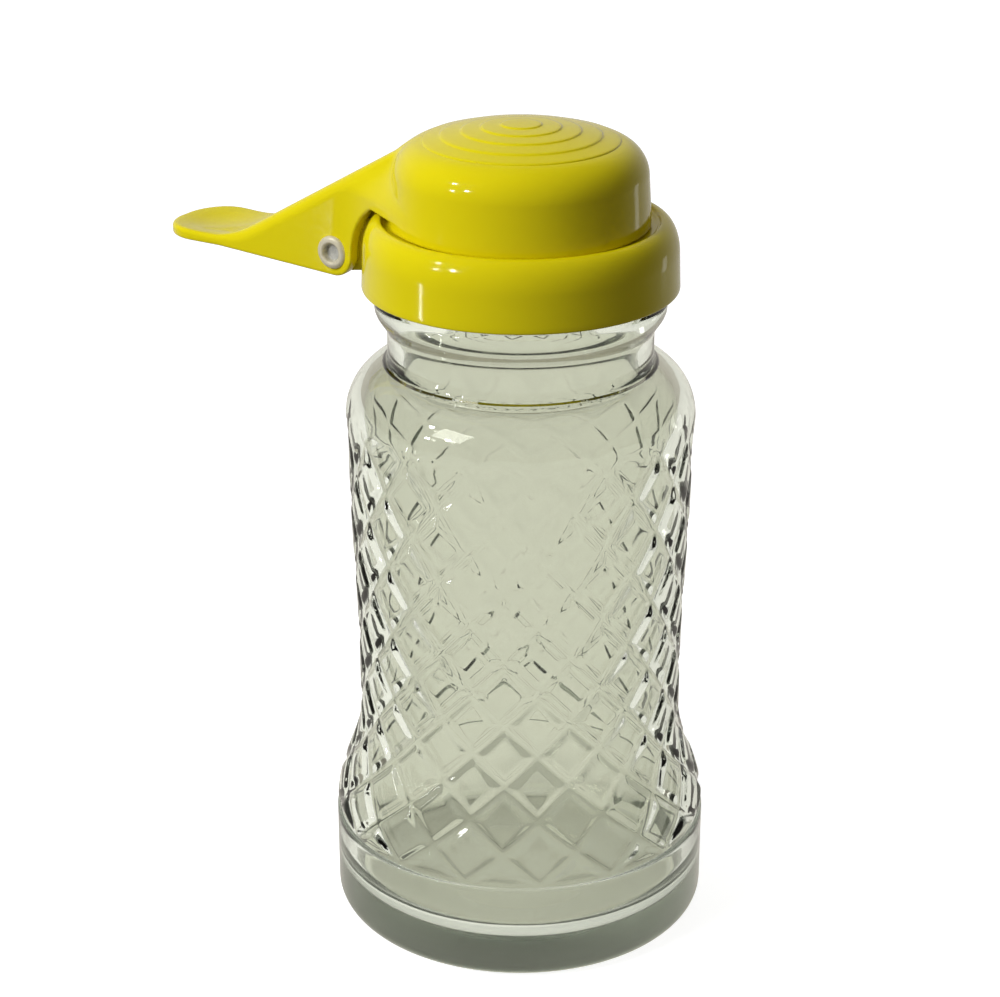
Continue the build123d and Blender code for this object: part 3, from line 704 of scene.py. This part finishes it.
def mean_crossing(values, cells):
    """The middle of the places where the surface crosses each cell's edges."""
    total = np.zeros((len(cells), 3))
    hits = np.zeros(len(cells))
    for near in CORNERS:
        for axis in range(3):
            if near[axis]:
                continue
            far = list(near)
            far[axis] = 1
            v0, v1 = values[tuple((cells + near).T)], values[tuple((cells + far).T)]
            cross = (v0 < 0) != (v1 < 0)
            share = np.where(cross, v0 / np.where(cross, v0 - v1, 1), 0)
            point = np.tile(np.array(near, float), (len(cells), 1))
            point[:, axis] += share
            total[cross] += point[cross]
            hits[cross] += 1
    return total / hits[:, None]


def net_quads(inside, index):
    """One quad for each edge of the grid that the surface crosses."""
    quads = []
    for axis in range(3):
        u, w = [(1, 2), (2, 0), (0, 1)][axis]
        first = [slice(0, -1)] * 3
        second = [slice(0, -1)] * 3
        second[axis] = slice(1, None)
        first[u] = first[w] = second[u] = second[w] = slice(1, -1)
        a, b = inside[tuple(first)], inside[tuple(second)]
        for enter, order in ((a & ~b, 1), (~a & b, -1)):
            at_edge = np.argwhere(enter)
            at_edge[:, [u, w]] += 1
            corner = []
            for du, dw in ((-1, -1), (0, -1), (0, 0), (-1, 0)):
                q = at_edge.copy()
                q[:, u] += du
                q[:, w] += dw
                corner.append(index[tuple(q.T)])
            quads.append(np.stack(corner, -1)[:, ::order])
    quads = np.vstack(quads)
    return quads[(quads >= 0).all(1)]


def settle(distance, points, h):
    """Move points on to the surface along its slope, by half a cell at most each time."""
    e = 0.02
    for _ in range(3):
        f = distance(points)
        g = np.stack([(distance(points + d) - distance(points - d)) / (2 * e)
                      for d in np.eye(3) * e], -1)
        size = np.maximum((g * g).sum(-1), 0.2)
        move = -(f / size)[:, None] * g
        length = np.linalg.norm(move, axis=1, keepdims=True)
        points = points + move * np.minimum(1, 0.5 * h / np.maximum(length, 1e-9))
    return points


def surface_nets(distance, low, high, h):
    """A mesh of a distance function's zero surface, with its points moved on to it."""
    axes = [np.arange(low[i], high[i] + h, h) for i in range(3)]
    values = distance(np.stack(np.meshgrid(*axes, indexing="ij"), -1)).astype(np.float32)
    inside = values < 0
    active = crossed_cells(inside)
    cells = np.argwhere(active)
    index = np.full(active.shape, -1, np.int64)
    index[active] = np.arange(len(cells))
    points = np.array(low) + (cells + mean_crossing(values, cells)) * h
    return settle(distance, points, h), net_quads(inside, index)


def crown_z(r, climbed):
    """Height of the crown at a radius, after climbing a number of ring steps."""
    return CROWN_TOP - CROWN_R + math.sqrt(CROWN_R**2 - r * r) + RING_STEP * climbed


def crown_rings():
    """The raised ring steps on the crown."""
    profile = [(RINGS[0] + 0.06, crown_z(RINGS[0], 0) - 0.5)]
    for k, (edge_r, next_r) in enumerate(zip(RINGS, RINGS[1:] + (0.3,))):
        for out_by, share in ((0.03, 0.2), (-0.03, 0.75), (-0.13, 1.0)):
            profile.append((edge_r + out_by, crown_z(edge_r + out_by, k + share)))
        for share in (0.15, 0.4, 0.7, 0.92):
            r = edge_r - 0.13 + (next_r + 0.1 - edge_r + 0.13) * share
            profile.append((r, crown_z(r, k + 1)))
    profile.append((0.1, CROWN_PEAK))
    points = lathe(profile, 192).reshape(-1, 3)
    crown = make_mesh("lid_crown_rings", points, ring_faces(len(profile), 192))
    place(crown, "lid", "yellow_plastic", YELLOW)


def lid_moulding():
    points, quads = surface_nets(lid_distance, NET_LOW, NET_HIGH, NET_STEP)
    lid = make_mesh("lid_moulding", points, quads)
    place(lid, "lid", "yellow_plastic", YELLOW, "lid")


lid_moulding()
crown_rings()

# ---------------------------------------------------------------- hinge rivet
SHANK_R, HEAD_R, HEAD_Y, HEAD_DOME, RIVET_COUNT = 2.38, 4.1, 10.3, 1.0, 72


def hinge_rivet():
    """Turned round the hinge line from a profile of (distance along Y, radius)."""
    # the hollow end, then its rolled flange
    profile = [(-9.6, 0.05), (-9.6, 1.0), (-9.62, 1.45), (-9.72, 1.66), (-9.95, 1.74), (-10.3, 1.78)]
    profile += [(-10.62, 1.84), (-10.8, 1.98), (-10.88, 2.2), (-10.88, 2.5), (-10.82, 2.8), (-10.7, 3.05)]
    profile += [(-10.5, 3.24), (-10.28, 3.33), (-10.12, 3.36), (-10.05, 3.3), (-10.0, 3.1)]
    # the shank and the domed head
    profile += [(y, SHANK_R) for y in (-10.0, -4.0, 4.0, 10.0)]
    profile += [(10.0, 3.9), (10.12, 4.06), (HEAD_Y, HEAD_R)]
    for a in np.radians(np.linspace(12, 89.3, 10)):
        profile.append((HEAD_Y + HEAD_DOME * math.sin(a), HEAD_R * math.cos(a)))
    t = full_circle(RIVET_COUNT)
    p = np.asarray(profile, float)
    along = np.repeat(p[:, :1], RIVET_COUNT, 1)
    points = np.stack([PX + p[:, 1:] * np.cos(t), along, PZ + p[:, 1:] * np.sin(t)], -1)
    rivet = make_mesh("rivet_metal", points.reshape(-1, 3), ring_faces(len(p), RIVET_COUNT))
    place(rivet, "lid", "rivet_metal", RIVET, "hinge_rivet")


hinge_rivet()

# -------------------------------------------------------------- return spring
COIL_R, WIRE_R, COIL_PITCH = 3.8, 0.5, 1.55
COIL_SWEEP = 360 * 4 + 30
WIRE_COUNT = 14
LEG_UNDER_SKIRT = (-30.1, -33.0, -36.0)  # X of its points
LEG_UNDER_LEVER = (1.0, 4.0, 8.0, 11.5, 12.6)  # distances from the coil's end
LEG_RISE = (-math.sqrt(3) / 2, 0, 0.5)


def coil(turned):
    """A point of the coil after a number of degrees."""
    a = math.radians(270 - turned)
    y = COIL_PITCH * (turned - COIL_SWEEP / 2) / 360
    return (PX + COIL_R * math.cos(a), y, PZ + COIL_R * math.sin(a))


def spring_path():
    path = [(x, coil(0)[1], PZ - COIL_R) for x in LEG_UNDER_SKIRT]
    path += [coil(s) for s in np.linspace(0, COIL_SWEEP, 180)]
    end, leg = Vector(coil(COIL_SWEEP)), Vector(LEG_RISE)
    path += [tuple(end + leg * s) for s in LEG_UNDER_LEVER]
    return np.array(path)


def return_spring():
    path = spring_path()
    tangent = np.gradient(path, axis=0)
    tangent /= np.linalg.norm(tangent, axis=1, keepdims=True)
    side = np.cross(tangent, (0, 1, 0))
    side /= np.linalg.norm(side, axis=1, keepdims=True)
    other = np.cross(tangent, side)
    t = full_circle(WIRE_COUNT)[None, :, None]
    tube = path[:, None] + WIRE_R * (side[:, None] * np.cos(t) + other[:, None] * np.sin(t))
    # the wire's ends are drawn in to half its width
    ends = [tube[n] * 0.5 + path[n] * 0.5 for n in (0, -1)]
    tube = np.concatenate([[ends[0]], tube, [ends[1]]])
    round_wire = np.arange(WIRE_COUNT)
    caps = [round_wire[::-1][None], (round_wire + (len(tube) - 1) * WIRE_COUNT)[None]]
    spring = make_mesh("spring_wire", tube.reshape(-1, 3), [ring_faces(len(tube), WIRE_COUNT)] + caps)
    spring.data.materials.append(STEEL)
    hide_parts("return_spring")
    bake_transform(spring)


return_spring()

# -------------------------------------------- the liner, a CAD node that shows
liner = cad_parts["cap_liner"]
liner.data.materials.clear()
liner.data.materials.append(FOAM)

# ------------------------------------------- floor and light, places in metres
FLOOR_HALF, FLOOR_DROP = 6.0, 0.0001
AZ = math.radians(31)  # how far round the jar the camera stands
RIGHT = Vector((math.cos(AZ), math.sin(AZ), 0))
BACK = Vector((-math.sin(AZ), math.cos(AZ), 0))
MIDDLE = Vector((0, 0, 0.1))
CAP = Vector((0, 0, 0.15))
LAMPS_AWAY = 1.2
LAMPS = ((-0.75, -0.24, 0.62, 1.0), (-0.70, -0.56, 0.444, 1.8), (-0.85, -0.40, 0.35, 0.7))


def pale_floor():
    s = FLOOR_HALF
    me = bpy.data.meshes.new("floor")
    me.from_pydata([(-s, -s, 0), (s, -s, 0), (s, s, 0), (-s, s, 0)], [], [(0, 1, 2, 3)])
    floor = bpy.data.objects.new("floor", me)
    bpy.context.scene.collection.objects.link(floor)
    floor.location.z = -FLOOR_DROP
    floor.visible_diffuse = False
    floor.visible_glossy = False
    m, nt, sh = new_material("pale_floor")
    sh.inputs["Base Color"].default_value = grey(0.5)
    sh.inputs["Roughness"].default_value = 0.9
    sh.inputs["Specular IOR Level"].default_value = 0.1
    sh.inputs["Emission Color"].default_value = grey(1)
    sh.inputs["Emission Strength"].default_value = 0.88
    me.materials.append(m)


def at(right, back, up):
    """A place given as seen from the camera, in metres."""
    return RIGHT * right + BACK * back + Vector((0, 0, up))


def area(name, location, target, size, power, size_y=None, mirrored=True):
    """An area lamp that faces its target; one that isn't mirrored leaves no highlight."""
    light = bpy.data.lights.new(name, "AREA")
    light.energy = power
    light.size = size
    if size_y:
        light.shape = "RECTANGLE"
        light.size_y = size_y
    ob = bpy.data.objects.new(name, light)
    bpy.context.scene.collection.objects.link(ob)
    ob.location = location
    ob.rotation_euler = (Vector(target) - Vector(location)).to_track_quat("-Z", "Y").to_euler()
    ob.visible_glossy = mirrored


def lamps():
    area("key", at(-0.85, -0.55, 0.95), MIDDLE, 0.5, 10.3, mirrored=False)
    area("overhead", at(-0.4, 0.6, 1.5), MIDDLE, 1.2, 4, mirrored=False)
    for k, (right, back, up, power) in enumerate(LAMPS):
        area("lamp_%d" % k, CAP + at(right, back, up) * LAMPS_AWAY, CAP, 0.07, power)
    area("low_strip", at(-0.215, -0.075, 0.08), CAP, 0.006, 0.02, size_y=0.045)
    area("low_panel", at(0.42, 0.25, 0.06), CAP, 0.06, 0.02, size_y=0.1)


def dim_room():
    """A dim room with a brighter wall behind the glass."""
    world = bpy.data.worlds.new("studio")
    bpy.context.scene.world = world
    world.use_nodes = True
    nt = world.node_tree
    nt.nodes["Background"].inputs["Color"].default_value = (1.0, 0.95, 0.86, 1)
    toward = nt.nodes.new("ShaderNodeVectorMath")
    toward.operation = "DOT_PRODUCT"
    nt.links.new(nt.nodes.new("ShaderNodeTexCoord").outputs["Generated"], toward.inputs[0])
    toward.inputs[1].default_value = BACK * 0.94 - Vector((0, 0, 0.34))
    wall = map_range(nt, toward.outputs["Value"], (0.05, 0.14), (0.85, 0.62), smooth=True)
    nt.links.new(wall, nt.nodes["Background"].inputs["Strength"])


pale_floor()
lamps()
dim_room()

# --------------------------------------------------------------------- camera
PITCH_DOWN, YAW, ROLL = math.radians(22.539), math.radians(-0.533), math.radians(-0.056)
CAMERA_AWAY, CAMERA_UP = 0.4651240, 0.282069  # metres
SENSOR, FOCAL_PIXELS, PHOTO_WIDTH = 36.0, 2500.0, 1000.0
PHOTO_MIDDLE, AXIS_PIXEL = (500.0, 498.5), (498.8, 498.2)  # the photo's middle and the lens axis


def camera():
    cam_data = bpy.data.cameras.new("camera")
    cam = bpy.data.objects.new("camera", cam_data)
    bpy.context.scene.collection.objects.link(cam)
    bpy.context.scene.camera = cam
    cam_data.sensor_width = SENSOR
    cam_data.lens = SENSOR * FOCAL_PIXELS / PHOTO_WIDTH
    cam_data.clip_start = 0.01
    cam_data.clip_end = 50
    cam_data.shift_x = (PHOTO_MIDDLE[0] - AXIS_PIXEL[0]) / PHOTO_WIDTH
    cam_data.shift_y = (AXIS_PIXEL[1] - PHOTO_MIDDLE[1]) / PHOTO_WIDTH
    # the camera's own directions before it is turned by the azimuth
    across = Vector((math.cos(YAW), -math.sin(YAW), 0))
    level = Vector((math.sin(YAW), math.cos(YAW), 0))
    forward = level * math.cos(PITCH_DOWN) + Vector((0, 0, -math.sin(PITCH_DOWN)))
    upward = level * math.sin(PITCH_DOWN) + Vector((0, 0, math.cos(PITCH_DOWN)))
    rolled_right = across * math.cos(ROLL) + upward * math.sin(ROLL)
    rolled_up = upward * math.cos(ROLL) - across * math.sin(ROLL)
    turn = Matrix(((math.cos(AZ), -math.sin(AZ), 0), (math.sin(AZ), math.cos(AZ), 0), (0, 0, 1)))
    basis = Matrix((turn @ rolled_right, turn @ rolled_up, -(turn @ forward))).transposed()
    cam.matrix_world = Matrix.Translation(at(0, -CAMERA_AWAY, CAMERA_UP)) @ basis.to_4x4()


camera()

scene = bpy.context.scene
scene.view_settings.view_transform = "Standard"
scene.view_settings.look = "None"
scene.view_settings.exposure = 0.0
